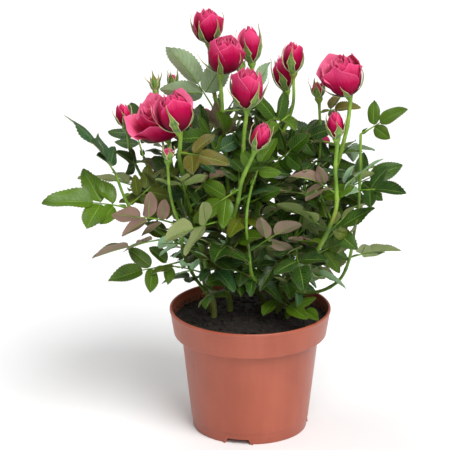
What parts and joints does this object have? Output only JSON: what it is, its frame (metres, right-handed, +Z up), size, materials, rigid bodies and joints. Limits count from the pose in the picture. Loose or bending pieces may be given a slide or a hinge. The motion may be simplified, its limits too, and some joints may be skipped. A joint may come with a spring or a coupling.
{
  "type": "potted rose",
  "caption": "Miniature rose bush with crimson blooms, buds and serrated compound leaves, rooted in soil in a tapered terracotta-coloured plastic nursery pot.",
  "frame": {"origin": "centre of the pot's flat base, on the surface that the pot stands on", "axes": "+Z up through the pot and the bush, -Y towards the front of the bush, +X to its right seen from the front"},
  "size_m": [0.2621, 0.1752, 0.3169],
  "materials": {
    "pot": "satin",
    "soil": "matte",
    "stem": "satin",
    "petal": "matte",
    "leaf": "satin"
  },
  "bodies": {
    "root": {"pot": "pot", "soil": "soil", "cane_left_front": "stem", "cane_left_rear": "stem", "cane_centre": "stem", "cane_middle": "stem", "cane_right": "stem", "cane_right_rear": "stem", "bloom_top": "petal", "bloom_upper_left": "petal", "bud_upper_middle": "petal", "bloom_middle": "petal", "bud_twin_front": "petal", "bud_twin_rear": "petal", "bud_green": "petal", "bloom_right": "petal", "bud_right": "petal", "bud_front": "petal", "bloom_left_open": "petal", "bloom_left_front": "petal", "bud_far_left": "petal", "bud_left_small": "petal", "bloom_rear_left": "petal", "bloom_rear_right": "petal", "leaf_01": "leaf", "leaf_02": "leaf", "leaf_03": "leaf", "leaf_04": "leaf", "leaf_05": "leaf", "leaf_06": "leaf", "leaf_07": "leaf", "leaf_08": "leaf", "leaf_09": "leaf", "leaf_10": "leaf", "leaf_11": "leaf", "leaf_12": "leaf", "leaf_13": "leaf", "leaf_14": "leaf", "leaf_15": "leaf", "leaf_16": "leaf", "leaf_17": "leaf", "leaf_18": "leaf", "leaf_19": "leaf", "leaf_20": "leaf", "leaf_21": "leaf", "leaf_22": "leaf", "leaf_23": "leaf", "leaf_24": "leaf", "leaf_25": "leaf", "leaf_26": "leaf", "leaf_27": "leaf", "leaf_28": "leaf", "leaf_29": "leaf", "leaf_30": "leaf", "leaf_31": "leaf", "leaf_32": "leaf", "leaf_33": "leaf", "leaf_34": "leaf", "leaf_35": "leaf", "leaf_36": "leaf"}
  },
  "joints": []
}
